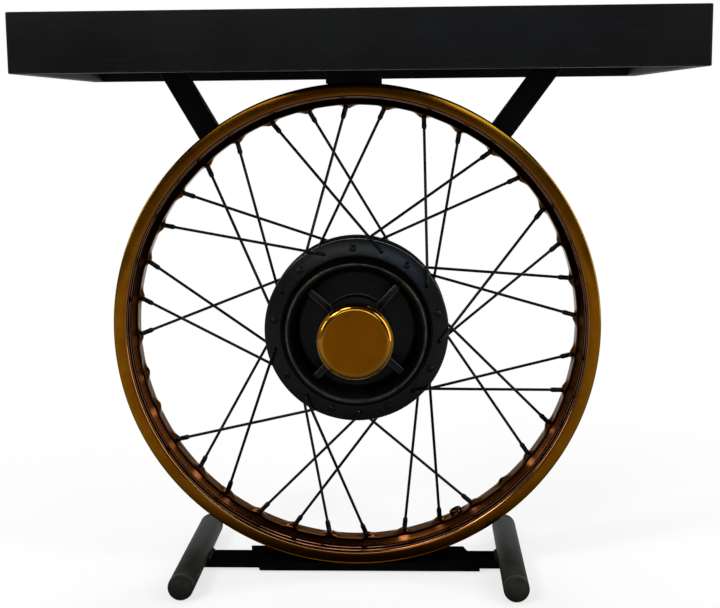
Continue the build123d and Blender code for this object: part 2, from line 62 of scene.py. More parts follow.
class Wire:
    # one value in a finish; a sum on it adds a Math node
    def __init__(self, finish, node, output):
        self.finish, self.node, self.socket = finish, node, node.outputs[output]

    def output(self, name):
        return Wire(self.finish, self.node, name)

    def maths(self, operation, *values):
        return self.finish.add("ShaderNodeMath", {"operation": operation},
                               dict(enumerate(values)))

    def __add__(self, value):
        return self.maths("ADD", self, value)

    def __radd__(self, value):
        return self.maths("ADD", value, self)

    def __sub__(self, value):
        return self.maths("SUBTRACT", self, value)

    def __rsub__(self, value):
        return self.maths("SUBTRACT", value, self)

    def __mul__(self, value):
        return self.maths("MULTIPLY", self, value)

    def __rmul__(self, value):
        return self.maths("MULTIPLY", value, self)

    def __truediv__(self, value):
        return self.maths("DIVIDE", self, value)

    def __pow__(self, value):
        return self.maths("POWER", self, value)


def tint(red, green, blue):
    # a colour as it shows on a screen, 0 to 255
    def straight(part):
        part /= 255
        return part / 12.92 if part < 0.04045 else ((part + 0.055) / 1.055) ** 2.4
    return straight(red), straight(green), straight(blue), 1.0


class Finish:
    # a node material that reads object coordinates, in millimetres from a centre
    def __init__(self, name, centre=floorPoint):
        self.material = bpy.data.materials.new(name)
        self.material.use_nodes = True
        self.tree = self.material.node_tree
        self.tree.nodes.clear()
        place = self.add("ShaderNodeTexCoord", output="Object")
        self.place = self.add("ShaderNodeMapping", {"vector_type": "POINT"}, {
            "Vector": place, "Location": -centre, "Scale": (1 / mm,) * 3})
        apart = self.add("ShaderNodeSeparateXYZ", {}, {"Vector": self.place}, "X")
        self.x, self.y, self.z = apart, apart.output("Y"), apart.output("Z")

    def add(self, kind, settings=None, values=None, output=0):
        node = self.tree.nodes.new(kind)
        for key, value in (settings or {}).items():
            setattr(node, key, value)
        for key, value in (values or {}).items():
            if isinstance(value, Wire):
                self.tree.links.new(value.socket, node.inputs[key])
            else:
                node.inputs[key].default_value = value
        return Wire(self, node, output) if node.outputs else node

    def rise(self, value, start, end, bottom=0.0, top=1.0):
        # a smooth step from bottom to top as the value goes up or down from start to end
        return self.add("ShaderNodeMapRange", {"interpolation_type": "SMOOTHSTEP"}, {
            "Value": value, "From Min": start, "From Max": end, "To Min": bottom, "To Max": top})

    def band(self, value, low, high, soft):
        # 1 between low and high, with soft ends
        inside = self.rise(value, low - soft, low + soft)
        return inside * (1 - self.rise(value, high - soft, high + soft))

    def radius(self):
        return (self.x ** 2 + self.z ** 2) ** 0.5

    def squash(self, x, y, z):
        # the place with each way stretched, for grain that runs along one of them
        return self.add("ShaderNodeVectorMath", {"operation": "MULTIPLY"},
                        {0: self.place, 1: (x, y, z)})

    def around(self, across=1.0, along=1.0, round=1.0):
        # the place rolled out: radius, way along the axle, and way round the axle
        turn = self.x.maths("ARCTAN2", self.z, self.x)
        return self.add("ShaderNodeCombineXYZ", {}, {
            "X": self.radius() * across, "Y": self.y * along, "Z": turn * round})

    def noise(self, size, detail=3.0, rough=0.5, vector=None):
        # blotches or grains of about this size
        return self.add("ShaderNodeTexNoise", {"noise_dimensions": "3D"}, {
            "Vector": vector or self.place, "Scale": 1.0 / size, "Detail": detail,
            "Roughness": rough}, "Fac")

    def mix(self, share, first, second):
        return self.add("ShaderNodeMix", {"data_type": "RGBA"}, {
            0: share, 6: first, 7: second}, 2)

    def bump(self, height, depth):
        # depth is in millimetres
        return self.add("ShaderNodeBump", {}, {
            "Height": height, "Distance": depth * mm, "Strength": 1.0})

    def shade(self, values):
        surface = self.add("ShaderNodeBsdfPrincipled", {}, values)
        self.add("ShaderNodeOutputMaterial", {}, {"Surface": surface})
        return self.material


top = {"length": 600.0, "width": 340.0, "under": 498.0, "thick": 52.0, "corner": 3.0,
       "arris": 1.1, "rail": 18.0, "panel": 18.0, "mouth": 0.7}
board = {"dark": (7, 7, 7), "light": (11, 12, 13), "fibreTint": (20, 21, 21), "fibre": 0.35,
         "scuffAndHighlightTint": (44, 43, 40), "scuffAndHighlight": 0.5, "scuffHighlightFrom": 1.8, "scuffHighlightTo": 0.6,
         "scuffHighlightLift": 0.2, "scuffHighlightSize": 14, "cloudSize": 90, "grainSize": 0.9, "fibreSize": 2.2,
         "fibreLong": 0.06, "rough": 0.40, "sheen": 0.05, "depth": 0.035}


def makeBlackBoard():
    b = board
    f = Finish("blackBoard")
    cloud = f.noise(b["cloudSize"], 3, 0.55)
    grain = f.noise(b["grainSize"], 2, 0.6)
    fibre = f.noise(b["fibreSize"], 3, 0.6, f.squash(b["fibreLong"], 1.0, 1.0))

    def edge(value, face, way=1):
        # 1 where the value has come up to a face of the top
        return f.rise(value, face - way * b["scuffHighlightFrom"], face - way * b["scuffHighlightTo"])

    # scuffs and a painted highlight, a lighter line, lie only where two faces meet
    ends = edge(f.x.maths("ABSOLUTE", f.x), top["length"] / 2)
    fronts = edge(f.y.maths("ABSOLUTE", f.y), top["width"] / 2)
    levels = edge(f.z, top["under"], -1) + edge(f.z, top["under"] + top["thick"] + b["scuffHighlightLift"])
    arris = ends * fronts + ends * levels + fronts * levels
    scuffAndHighlight = arris * f.rise(f.noise(b["scuffHighlightSize"], 4, 0.65), 0.42, 0.66)
    colour = f.mix(f.rise(cloud, 0.35, 0.65), tint(*b["dark"]), tint(*b["light"]))
    colour = f.mix(f.rise(fibre, 0.45, 0.75) * b["fibre"], colour, tint(*b["fibreTint"]))
    # the lighter arris colour is partly wear, partly a painted highlight on the rounded edges
    colour = f.mix(scuffAndHighlight * b["scuffAndHighlight"], colour, tint(*b["scuffAndHighlightTint"]))
    return f.shade({
        "Base Color": colour,
        "Roughness": b["rough"] + cloud * 0.16 + grain * 0.05,
        "Specular IOR Level": b["sheen"],
        "Normal": f.bump(grain * 0.7 + fibre * 0.5, b["depth"])})


golds = {
    "gold_rim": {"name": "goldRim", "dark": (106, 62, 5), "light": (124, 76, 8)},
    "gold_cap": {"name": "goldCap", "dark": (128, 75, 4), "light": (136, 81, 6)},
}
# the anodised gold with painted shade and a painted reflection: each pair is two radii, where a
# colour starts and is full, or the edges of the band that the lacquer keeps to
dyeAndShade = {"crestShadeTint": (88, 44, 8), "crest": 0.45, "sideReflectionTint": (112, 82, 14), "side": 0.6,
       "outer": (235.0, 239.5), "innerShadeTint": (82, 45, 17), "inner": (229.6, 226.9),
       "wellShadeTint": (50, 29, 17), "well": (225.4, 220.4), "capEdgeHighlightTint": (136, 91, 3),
       "capEdge": (28.0, 31.0), "speckTint": (60, 32, 10), "speck": 0.25,
       "mirror": (0.56, 0.50, 0.46, 1.0), "rimCoat": 0.35, "rimCoated": (225.6, 229.6),
       "capCoat": 0.28, "coatRough": 0.05, "rough": 0.07, "depth": 0.005}


def makeGold(name, dark, light, onRim):
    d = dyeAndShade
    f = Finish(name, axle)
    radius = f.radius()
    turned = f.noise(0.55, 2, 0.6, f.around(1.0, 1.0, 1.2))
    smear = f.noise(26, 4, 0.6)
    speck = f.rise(f.noise(2.3, 2, 0.5), 0.72, 0.80)
    gold = f.mix(f.rise(smear, 0.3, 0.7), tint(*dark), tint(*light))
    if onRim:
        # painted shade: darker over and under the axle and on the faces towards the axle, darkest
        # in the well; a painted reflection turns the outer flanks olive level with the axle
        aside = f.x.maths("ABSOLUTE", f.x) / radius  # 0 over and under the axle, 1 level with it
        flankReflection = f.rise(radius, *d["outer"]) * f.rise(aside, 0.2, 0.9)
        gold = f.mix(f.rise(aside, 0.75, 0.1) * d["crest"], gold, tint(*d["crestShadeTint"]))
        gold = f.mix(flankReflection * d["side"], gold, tint(*d["sideReflectionTint"]))
        gold = f.mix(f.rise(radius, *d["inner"]), gold, tint(*d["innerShadeTint"]))
        gold = f.mix(f.rise(radius, *d["well"]), gold, tint(*d["wellShadeTint"]))
        coat = f.band(radius, *d["rimCoated"], 0.8) * d["rimCoat"]
    else:
        # painted highlight: a yellower gold on the cap's rounded edge
        gold = f.mix(f.rise(radius, *d["capEdge"]), gold, tint(*d["capEdgeHighlightTint"]))
        coat = f.rise(radius, *d["capEdge"], 0.0, d["capCoat"])  # lacquer on the rounded edge
    gold = f.mix(speck * d["speck"], gold, tint(*d["speckTint"]))
    return f.shade({
        "Base Color": gold, "Metallic": 1.0, "Specular Tint": d["mirror"],
        "Coat Weight": coat, "Coat Roughness": d["coatRough"],
        "Roughness": d["rough"] + turned * 0.04 + smear * 0.05,
        "Normal": f.bump(turned * 0.4 + smear * 0.3, d["depth"])})


ribs = {"count": 4, "angle": 48.0, "width": 7.0, "top": -42.0}  # in the hub's dish
# the paint on the hub, with painted shade in the dish and painted highlights on the lip and ribs:
# each pair is where a colour or wear starts and is full, or its band
hubPaint = {"dark": (4, 4, 4), "light": (8, 8, 7), "dishShadeTint": (4, 4, 3), "dish": (76.0, 72.0),
            "wornHighlightTint": (64, 63, 59), "lipWornHighlight": 0.7, "lip": (66.9, 68.3),
            "lipFront": (-49.2, -49.8), "ribWornHighlight": 0.55, "ribEdge": (-0.9, 0.2),
            "ribLong": (32, 59), "ribFront": (1.3, 0.7), "dustTint": (18, 15, 11), "dust": 0.25,
            "dusty": (-20, -90), "rough": 0.24, "sheen": 0.13, "depth": 0.02}


def makeBlackHub():
    h = hubPaint
    f = Finish("blackHub", axle)
    radius = f.radius()
    cast = f.noise(1.5, 3, 0.6)
    cloud = f.noise(22, 3, 0.5)
    turned = f.noise(0.7, 2, 0.5, f.around(1.0, 1.0, 1.0))
    # painted highlight and wear: a thin light line on the crest of the ring lip
    worn = f.band(radius, *h["lip"], 0.3) * f.rise(f.y, *h["lipFront"])
    worn = worn * f.rise(f.noise(16, 3, 0.6), 0.25, 0.6)
    # painted highlight and wear on the two long edges of each rib
    rubbedHighlight = 0.0  # the two long edges of each rib
    low, high = (ribs["width"] / 2 + gap for gap in h["ribEdge"])
    for turn in (ribs["angle"], ribs["angle"] + 90):
        across = f.x * sin(radians(turn)) - f.z * cos(radians(turn))
        rubbedHighlight = f.band(across.maths("ABSOLUTE", across), low, high, 0.2) + rubbedHighlight
    front, back = (ribs["top"] + gap for gap in h["ribFront"])
    rubbedHighlight = rubbedHighlight * f.band(radius, *h["ribLong"], 1.0) * f.rise(f.y, front, back)
    paint = f.mix(f.rise(cloud, 0.35, 0.7), tint(*h["dark"]), tint(*h["light"]))
    # painted shade: darker inside the ring lip, in the groove and the dish
    paint = f.mix(f.rise(radius, *h["dish"]), paint, tint(*h["dishShadeTint"]))
    # the worn colour is partly wear, partly a painted highlight
    paint = f.mix(worn * h["lipWornHighlight"] + rubbedHighlight * h["ribWornHighlight"], paint, tint(*h["wornHighlightTint"]))
    dust = f.rise(f.z, *h["dusty"]) * f.rise(f.noise(12, 4, 0.6), 0.35, 0.75)
    paint = f.mix(dust * h["dust"], paint, tint(*h["dustTint"]))
    return f.shade({
        "Base Color": paint,
        "Roughness": h["rough"] + cast * 0.10 + dust * 0.2,
        "Specular IOR Level": h["sheen"],
        "Normal": f.bump(cast * 0.8 + turned * 0.3, h["depth"])})


# depth and size are the paint's orange peel in millimetres, worn is how much of it is chipped
paints = {
    "black_spoke": {"name": "blackSpoke", "dark": (3, 3, 3), "light": (6, 6, 6), "rough": 0.26,
                    "sheen": 0.09, "depth": 0.0, "size": 1.0, "worn": 0.0},
    "black_steel": {"name": "blackSteel", "dark": (4, 4, 3), "light": (8, 8, 7), "rough": 0.58,
                    "sheen": 0.03, "depth": 0.02, "size": 1.3, "worn": 0.25},
    "base_steel": {"name": "baseSteel", "dark": (4, 4, 3), "light": (8, 8, 7), "rough": 0.58,
                   "sheen": 0.0, "depth": 0.02, "size": 1.3, "worn": 0.25},
    "charcoal_steel": {"name": "charcoalSteel", "dark": (22, 22, 19), "light": (34, 33, 29),
                       "rough": 0.46, "sheen": 0.04, "depth": 0.03, "size": 1.1, "worn": 0.5},
}
bareSteel = (78, 73, 64)


def makeBlackPaint(name, dark, light, rough, sheen, depth, size, worn):
    f = Finish(name)
    cloud = f.noise(30, 3, 0.5)
    peel = f.noise(size, 2, 0.5)
    chip = f.rise(f.noise(3.1, 4, 0.7), 0.68, 0.74) * worn
    paint = f.mix(f.rise(cloud, 0.3, 0.7), tint(*dark), tint(*light))
    paint = f.mix(chip, paint, tint(*bareSteel))
    return f.shade({
        "Base Color": paint, "Metallic": chip * 0.6,
        "Roughness": rough + cloud * 0.12 + chip * 0.1, "Specular IOR Level": sheen,
        "Normal": f.bump(peel, depth)})


metals = {
    "bright_steel": {"name": "brightSteel", "clean": (176, 174, 168), "rough": 0.24},
    "liner_iron": {"name": "linerIron", "clean": (112, 108, 104), "rough": 0.34},
}
stained = (110, 92, 70)


def makeTurnedMetal(name, clean, rough):
    f = Finish(name, axle)
    turned = f.noise(0.5, 3, 0.6, f.around(1.0, 1.0, 0.9))
    stain = f.rise(f.noise(11, 4, 0.6), 0.5, 0.8)
    return f.shade({
        "Base Color": f.mix(stain * 0.5, tint(*clean), tint(*stained)), "Metallic": 1.0,
        "Roughness": rough + turned * 0.12 + stain * 0.2,
        "Normal": f.bump(turned, 0.02)})


rubber = {"dark": (20, 20, 20), "light": (34, 33, 32), "rough": 0.72, "depth": 0.03}


def makeRubber():
    f = Finish("sealRubber", axle)
    return f.shade({
        "Base Color": f.mix(f.noise(6, 3, 0.5), tint(*rubber["dark"]), tint(*rubber["light"])),
        "Roughness": rubber["rough"] + f.noise(2, 2, 0.5) * 0.1,
        "Normal": f.bump(f.noise(0.8, 2, 0.5), rubber["depth"])})


finishes = {"black_board": makeBlackBoard(), "black_hub": makeBlackHub(),
            "seal_rubber": makeRubber()}
for slot, look in golds.items():
    finishes[slot] = makeGold(**look, onRim=slot == "gold_rim")
for slot, look in paints.items():
    finishes[slot] = makeBlackPaint(**look)
for slot, look in metals.items():
    finishes[slot] = makeTurnedMetal(**look)
print("finishes made:", len(finishes))


# ---- shapes

def spinOutline(corners, steps, closed=True):
    # corners are (way along Y, radius, rounding, segments), turned about Y
    bm = bmesh.new()
    verts = [bm.verts.new((corner[1], corner[0], 0)) for corner in corners]
    for first, second in zip(verts, verts[1:]):
        bm.edges.new((first, second))
    if closed:
        bm.edges.new((verts[-1], verts[0]))
    for vert, corner in zip(verts, corners):
        if len(corner) > 2:
            bmesh.ops.bevel(bm, geom=[vert], offset=corner[2], offset_type="OFFSET",
                            segments=corner[3] if len(corner) > 3 else 4, profile=0.5,
                            affect="VERTICES", material=-1)
    bmesh.ops.spin(bm, geom=bm.verts[:] + bm.edges[:], axis=(0, 1, 0), cent=(0, 0, 0),
                   angle=2 * pi, steps=steps, use_merge=True)
    bmesh.ops.remove_doubles(bm, verts=bm.verts, dist=0.002)
    bmesh.ops.recalc_face_normals(bm, faces=bm.faces)
    return bm


def meshOf(bm, name="shape"):
    mesh = bpy.data.meshes.new(name)
    bm.to_mesh(mesh)
    bm.free()
    return mesh


def stamp(bm, mesh, start, way):
    # a copy of a shape drawn along Y, put at a start and turned to run that way
    copy = mesh.copy()
    turn = Vector(way).to_track_quat("Y", "Z").to_matrix().to_4x4()
    copy.transform(Matrix.Translation(start) @ turn)
    bm.from_mesh(copy)
    bpy.data.meshes.remove(copy)


def makePin(start, end, radius, sides):
    # a plain pin along Y, to cut a round hole with
    return meshOf(spinOutline([(start, 0), (start, radius), (end, radius), (end, 0)], sides,
                              closed=False))


def block(bm, low, high, edge=0.0, segments=2):
    # a box between two corners with softened edges
    low, high = Vector(low), Vector(high)
    made = bmesh.ops.create_cube(bm, size=1.0)["verts"]
    bmesh.ops.scale(bm, vec=high - low, verts=made)
    bmesh.ops.translate(bm, vec=(low + high) / 2, verts=made)
    if edge:
        edges = list({e for v in made for e in v.link_edges})
        made = bmesh.ops.bevel(bm, geom=edges, offset=edge, segments=segments, profile=0.5,
                               affect="EDGES", material=-1)["verts"]
    return made


def push(bm, loop, way):
    # a ring drawn on by one straight step
    return bmesh.ops.spin(bm, geom=loop, axis=(0, 0, 1), cent=(0, 0, 0), dvec=way, angle=0,
                          steps=1)["geom_last"]


def ringAt(bm, start, way, radius, sides):
    # a ring of points and edges about a start, facing that way
    turn = Vector(way).to_track_quat("Z", "X").to_matrix().to_4x4()
    verts = bmesh.ops.create_circle(bm, segments=sides, radius=radius,
                                    matrix=Matrix.Translation(start) @ turn)["verts"]
    return verts + list({e for v in verts for e in v.link_edges})


def closeRing(bm, loop):
    # one face across a ring
    bmesh.ops.contextual_create(bm, geom=[g for g in loop if isinstance(g, bmesh.types.BMEdge)])


def meshToBm(mesh):
    bm = bmesh.new()
    bm.from_mesh(mesh)
    return bm


def finishPiece(name, bm, slot, body="table", stands=(), centre=floorPoint, crease=34):
    # millimetres about the centre become metres in the CAD's frame, and the piece joins its body
    if isinstance(bm, bpy.types.Mesh):
        mesh = bm
        mesh.name = name
    else:
        mesh = meshOf(bm, name)
    mesh.transform(Matrix.Scale(mm, 4) @ Matrix.Translation(centre))
    mesh.materials.append(finishes[slot])
    mesh.shade_smooth()
    mesh.set_sharp_from_angle(angle=radians(crease))
    piece = bpy.data.objects.new(name, mesh)
    bpy.context.scene.collection.objects.link(piece)
    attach(piece, body)
    if stands:
        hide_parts(*stands)
    return piece


def cutAway(mesh, knife):
    # the mesh less a knife shape, both still in millimetres
    whole = bpy.data.objects.new("whole", mesh)
    edge = bpy.data.objects.new("edge", meshOf(knife))
    for item in (whole, edge):
        bpy.context.scene.collection.objects.link(item)
    change = whole.modifiers.new("cut", "BOOLEAN")
    change.operation, change.solver, change.object = "DIFFERENCE", "EXACT", edge
    bpy.context.view_layer.update()
    cut = whole.evaluated_get(bpy.context.evaluated_depsgraph_get())
    made = bpy.data.meshes.new_from_object(cut)
    for item in (whole, edge):
        bpy.data.objects.remove(item)
    return made


# ---- tabletop

def makeTop():
    bm = bmesh.new()
    half = Vector((top["length"] / 2, top["width"] / 2, 0))
    block(bm, (-half.x, -half.y, top["under"]), (half.x, half.y, top["under"] + top["thick"]))
    # the rails hang deeper than the panel that they frame, so the top is open underneath
    under = min(bm.faces, key=lambda f: f.calc_center_median().z)
    bmesh.ops.inset_region(bm, faces=[under], thickness=top["rail"])
    bmesh.ops.inset_region(bm, faces=[under], thickness=0.0, depth=top["panel"] - top["thick"])

    inside = half - Vector((1, 1, 0)) * (top["corner"] + 1)  # just within the rounded corners

    def outside(edge):
        return all(abs(v.co.x) > inside.x or abs(v.co.y) > inside.y for v in edge.verts)

    def upright(edge):
        return abs(edge.verts[0].co.z - edge.verts[1].co.z) > 1

    uprights = [e for e in bm.edges if outside(e) and upright(e)]
    bmesh.ops.bevel(bm, geom=uprights, offset=top["corner"], segments=6, profile=0.5,
                    affect="EDGES", material=-1)
    creased = [e for e in bm.edges if not upright(e) and e.calc_face_angle(0) > 1]
    arris = [e for e in creased if outside(e)]
    mouth = [e for e in creased if not outside(e) and e.verts[0].co.z < top["under"] + 1]
    bmesh.ops.bevel(bm, geom=arris, offset=top["arris"], segments=3, profile=0.5,
                    affect="EDGES", material=-1)
    bmesh.ops.bevel(bm, geom=mouth, offset=top["mouth"], segments=2, profile=0.5,
                    affect="EDGES", material=-1)
    finishPiece("tableTop", bm, "black_board", stands=(
        "top_rail_front", "top_rail_back", "top_rail_left", "top_rail_right",
        "top_upper_panel"), crease=28)


makeTop()
print("tabletop made")


# ---- lacing: where each spoke leaves the hub and enters the rim

lacing = {"places": 36, "first": 102.05, "empty": (10, 11, 22), "cross": 40.0,
          "holeCircle": 81.1, "nearFlange": -33.0, "farFlange": 12.5, "nearTilt": 13.0,
          "farTilt": 5.0, "flange": 4.0, "standoff": 1.8, "aim": 220.3, "rise": 3.3}
spoke = {"radius": 1.45, "elbow": 2.2, "elbowSteps": 7, "head": 3.7, "headThick": 1.8, "sides": 12,
         "intoHead": 0.4, "intoNipple": 3.0}


def onWheel(angle, radius, along):
    # a point about the axle: degrees up from the right, radius, and way along the axle
    turn = radians(angle)
    return Vector((radius * cos(turn), along, radius * sin(turn)))


def laceSpoke(place):
    # head, elbow and boss tip of one spoke, and the way through its hub hole
    angle = lacing["first"] + 360.0 / lacing["places"] * (place - 1)
    forward = place % 4 in (0, 3)
    near = place % 2 == 0
    holeAngle = angle + (lacing["cross"] if forward else -lacing["cross"])
    tilt = radians(lacing["nearTilt"] if near else -lacing["farTilt"])
    flange = lacing["nearFlange" if near else "farFlange"]
    along = onWheel(holeAngle, -sin(tilt), cos(tilt))
    centre = onWheel(holeAngle, lacing["holeCircle"], flange)
    side = (-1 if near else 1) * (-1 if forward else 1)  # the side that the elbow comes out of
    half = lacing["flange"] / 2 * along.y
    seat = centre - along * side * half
    elbow = centre + along * side * (half + spoke["radius"] + lacing["standoff"])
    aim = onWheel(angle, lacing["aim"], 0)
    tip = aim + (elbow - aim).normalized() * lacing["rise"]
    return seat, elbow, tip, along * side, centre


laced = [p for p in range(1, lacing["places"] + 1) if p not in lacing["empty"]]


def makeSpokes():
    # a low dome with a soft rim, its flat side at the start
    head = meshOf(spinOutline([
        (0, 0), (0, spoke["head"], 0.4, 2), (-1.0, spoke["head"], 0.8, 3),
        (-spoke["headThick"], 1.6, 0.9, 2), (-spoke["headThick"] - 0.1, 0)], 20, closed=False))
    for name, remainder in (("spokesNearOutside", 2), ("spokesNearInside", 0),
                            ("spokesFarOutside", 1), ("spokesFarInside", 3)):
        bm = bmesh.new()
        for place in (p for p in laced if p % 4 == remainder):
            seat, elbow, tip, through, _ = laceSpoke(place)
            stamp(bm, head, seat - through * 0.05, through)
            out, down = (elbow - seat).normalized(), (tip - elbow).normalized()
            bend = out.angle(down)
            setback = spoke["elbow"] * tan(bend / 2)
            inward = (down - out * down.dot(out)).normalized()
            start = seat - through * spoke["intoHead"]
            loop = ringAt(bm, start, out, spoke["radius"], spoke["sides"])
            corner = elbow - out * setback
            loop = push(bm, loop, corner - start)
            loop = bmesh.ops.spin(bm, geom=loop, axis=out.cross(down).normalized(),
                                  cent=corner + inward * spoke["elbow"], angle=bend,
                                  steps=spoke["elbowSteps"])["geom_last"]
            run = (tip - elbow).length - setback - spoke["intoNipple"]
            loop = push(bm, loop, down * run)
            closeRing(bm, loop)
        bmesh.ops.recalc_face_normals(bm, faces=bm.faces)
        node = "spokes_" + ("near_" if "Near" in name else "far_") + (
            "outside" if "Outside" in name else "inside")
        finishPiece(name, bm, "black_spoke", stands=(node,), centre=axle)


makeSpokes()
print("spokes laced:", len(laced))


# ---- nipples

nipple = {"head": 4.0, "headThick": 2.2, "seat": 2.8, "body": 2.6, "flats": 4.5, "length": 11.5,
          "neck": 2.0, "taper": 2.6, "bore": 1.4, "flatFrom": 1.2, "flatTo": 7.2, "sides": 16}


def makeNipples():
    n = nipple
    turned = spinOutline([
        (-n["seat"] - n["headThick"], 0), (-n["seat"] - n["headThick"], n["head"], 0.9, 2),
        (-n["seat"], n["head"], 0.3, 1), (-n["seat"], n["body"]), (n["flatFrom"] - 0.4, n["body"]),
        (n["flatFrom"], n["body"]), (n["flatTo"], n["body"]), (n["flatTo"] + 0.5, n["body"]),
        (n["length"] - n["taper"], n["body"], 0.8, 2), (n["length"], n["neck"], 0.3, 1),
        (n["length"], n["bore"])], n["sides"], closed=False)
    for vert in turned.verts:  # four flats for the spoke key
        if n["flatFrom"] - 0.01 < vert.co.y < n["flatTo"] + 0.01:
            half = n["flats"] / 2
            vert.co.x = max(-half, min(half, vert.co.x))
            vert.co.z = max(-half, min(half, vert.co.z))
    shape = meshOf(turned)
    bm = bmesh.new()
    for place in laced:
        _, elbow, tip, _, _ = laceSpoke(place)
        stamp(bm, shape, tip, elbow - tip)
    finishPiece("spokeNipples", bm, "black_spoke", stands=("spoke_nipples",), centre=axle,
                crease=38)


makeNipples()
print("nipples made")


# ---- rim

rim = {"steps": 900, "radius": 240.5, "half": 28.0, "lipWall": 4.0, "shoulder": 229.8,
       "shoulderY": 16.5, "well": 222.4, "wellY": 11.0, "wall": 3.0, "cells": 12,
       "bossTop": 4.2, "bossFoot": 13.5, "bossLift": 3.6, "bossReach": 19.0, "bossDepth": 1.4,
       "cellEdge": 3.4, "wallFrom": 1.5, "wallClimb": 0.8}
valve = {"angle": 297.05, "hole": 4.2, "radius": 6.4, "rise": 4.5, "foot": 8.0, "sink": 1.4}


def wellFloor():
    # radius of the wall's side towards the axle
    return rim["well"] - rim["wall"]


def rimHalf(side):
    # one side of the rim's section, from the well out to the lip and back
    r = rim
    inner = r["half"] - r["lipWall"]
    half = [(r["wellY"] - 1.0, wellFloor(), 2.2, 4),
            (r["shoulderY"] - 0.5, r["shoulder"] - r["wall"], 1.8, 4),
            (r["half"], r["shoulder"] - r["wall"], 3.6, 7),
            (r["half"], r["radius"], 1.8, 5), (inner, r["radius"], 1.8, 5),
            (inner, r["shoulder"], 1.2, 3), (r["shoulderY"], r["shoulder"], 1.2, 3),
            (r["wellY"], r["well"], 1.6, 3)]
    return [(side * corner[0], *corner[1:]) for corner in half]


def pressBoss(bm, place):
    # the well's floor is drawn out to a flat seat across the spoke, with hollow flanks
    r = rim
    _, elbow, tip, _, _ = laceSpoke(place)
    down = (elbow - tip).normalized()
    for vert in bm.verts:
        offset = vert.co - tip
        if max(abs(offset.x), abs(offset.z)) > r["bossReach"] or abs(offset.y) > r["bossFoot"]:
            continue
        # the wall rises where the well ends, and its tyre's side stays
        climb = max(0.0, abs(vert.co.y) - r["wellY"] + r["wallFrom"]) * r["wallClimb"]
        inside = wellFloor() + r["bossDepth"] + climb
        if hypot(vert.co.x, vert.co.z) > inside:
            continue
        ahead = offset.dot(down)
        aside = (offset - down * ahead).length
        share = min(1.0, max(0.0, (r["bossFoot"] - aside) / (r["bossFoot"] - r["bossTop"])))
        vert.co += down * min(-ahead, r["bossLift"]) * share * share


def makeRim():
    r, v = rim, valve
    width = r["wellY"] - r["cellEdge"]
    cells = [width * (1 - 2 * i / r["cells"]) for i in range(r["cells"] + 1)]
    # the inner floor of the well is divided finely, for the bosses pressed into it
    floor = [(y, wellFloor()) for y in cells]
    bm = spinOutline(floor + rimHalf(-1) + rimHalf(1)[::-1], r["steps"])
    for place in range(1, lacing["places"] + 1):
        pressBoss(bm, place)
    holes = bmesh.new()
    pin = makePin(-14, 6, nipple["body"], 20)
    for place in lacing["empty"]:
        _, elbow, tip, _, _ = laceSpoke(place)
        stamp(holes, pin, tip, elbow - tip)
    inward = onWheel(v["angle"], -1, 0)
    foot = onWheel(v["angle"], wellFloor(), 0)
    stamp(holes, makePin(-8, 3, v["hole"], 32), foot, inward)
    whole = meshToBm(cutAway(meshOf(bm, "rim"), holes))
    boss = meshOf(spinOutline([
        (-v["sink"], v["hole"]), (v["rise"], v["hole"], 0.5, 2), (v["rise"], v["radius"], 1.4, 5),
        (0.6, v["radius"], 1.0, 3), (-0.4, v["foot"]), (-v["sink"], v["foot"])], 40))
    stamp(whole, boss, foot, inward)
    finishPiece("wheelRim", whole, "gold_rim", stands=("rim",), centre=axle, crease=30)


makeRim()
print("rim made")


# ---- hub shell

hub = {"steps": 180, "flange": 90.6, "flangeInner": 74.4, "barrel": 72.0, "nearLip": -50.0,
       "farLip": 45.0, "ringLip": 69.3, "dish": 60.5, "dishFloor": -16.0, "drum": 66.0,
       "drumFloor": -8.0, "boss": 31.0, "bossNear": -47.0, "bossFar": 30.0, "seat": 23.5,
       "nearBearing": -45.0, "farBearing": 14.0, "bearing": 14.0, "bore": 20.6, "clip": 25.0,
       "clipThick": 1.4, "hole": 1.75}


def flangeAt(flange, side, radius):
    # one face of a spoke flange at a radius; the flanges lean like shallow cones
    tilt = lacing["nearTilt"] if flange == "near" else -lacing["farTilt"]
    along = lacing[flange + "Flange"] + side * lacing["flange"] / 2
    return along + (radius - lacing["holeCircle"]) * tan(radians(tilt)), radius


